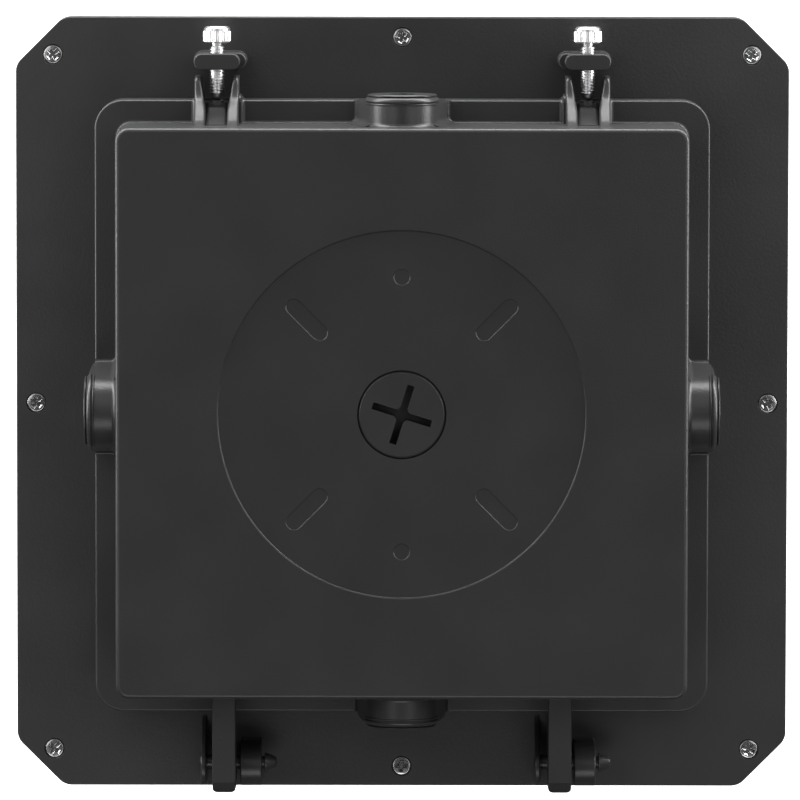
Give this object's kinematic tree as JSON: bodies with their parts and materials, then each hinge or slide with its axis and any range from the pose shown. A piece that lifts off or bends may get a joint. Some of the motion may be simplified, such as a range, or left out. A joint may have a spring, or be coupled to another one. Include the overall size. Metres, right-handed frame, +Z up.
{
  "type": "canopy light",
  "caption": "Square surface-mount canopy light: a shallow junction box with a hinged head below it that carries the driver, light board and drop lens, shut by knurled screws.",
  "frame": {"origin": "centre of the ceiling face of the junction box", "axes": "+Z up into the ceiling; the light shines towards -Z; hinges on the -Y side, cap screws on the +Y side"},
  "size_m": [0.253, 0.253, 0.076],
  "materials": {
    "coat": "fine-textured black powder coat, satin",
    "plug": "black moulded plastic, satin",
    "pin": "black moulded plastic, semi-gloss",
    "cap_steel": "knurled stainless steel",
    "zinc": "zinc-plated steel",
    "ground": "green zinc-plated steel",
    "silicone": "grey silicone, matt",
    "frosted": "frosted polycarbonate",
    "board": "white solder mask on aluminium",
    "phosphor": "yellow phosphor",
    "socket": "ivory plastic",
    "driver_shell": "extruded, satin",
    "driver_end": "black plastic",
    "grommet": "black rubber",
    "wire_red": "insulation",
    "wire_black": "insulation",
    "wire_white": "insulation",
    "wire_green": "insulation",
    "connector": "orange plastic"
  },
  "bodies": {
    "box": {"junction_box": "coat", "rear_plug": "coat", "side_plug_top": "plug", "side_plug_bottom": "plug", "side_plug_left": "plug", "side_plug_right": "plug", "ground_screw": "ground"},
    "head": {"door_housing": "coat", "box_gasket": "silicone", "lens_frame": "coat", "frame_screws": "zinc", "lens_gasket": "silicone", "lens": "frosted", "led_board": "board", "led_chips": "phosphor", "board_screws": "zinc", "board_socket": "socket", "driver_case": "driver_shell", "driver_caps": "driver_end", "driver_screws": "zinc", "wire_grommet": "grommet", "output_lead_red": "wire_red", "output_lead_black": "wire_black", "lead_line": "wire_black", "lead_neutral": "wire_white", "lead_earth": "wire_green", "wire_connector": "connector", "hinge_pin_left": "pin", "hinge_pin_right": "pin"},
    "cap_left": {"cap_screw_left": "cap_steel"},
    "cap_right": {"cap_screw_right": "cap_steel"}
  },
  "joints": [
    {"name": "head_hinge", "type": "hinge", "parent": "box", "child": "head", "pos_m": [0, -0.1173, -0.034], "axis": [-1, 0, 0], "range_deg": [0, 95]},
    {"name": "cap_screw_left_travel", "type": "slide", "parent": "head", "child": "cap_left", "axis": [0, 1, 0], "range_m": [-0.0034, 0.006]},
    {"name": "cap_screw_right_travel", "type": "slide", "parent": "head", "child": "cap_right", "axis": [0, 1, 0], "range_m": [-0.0034, 0.006]}
  ]
}
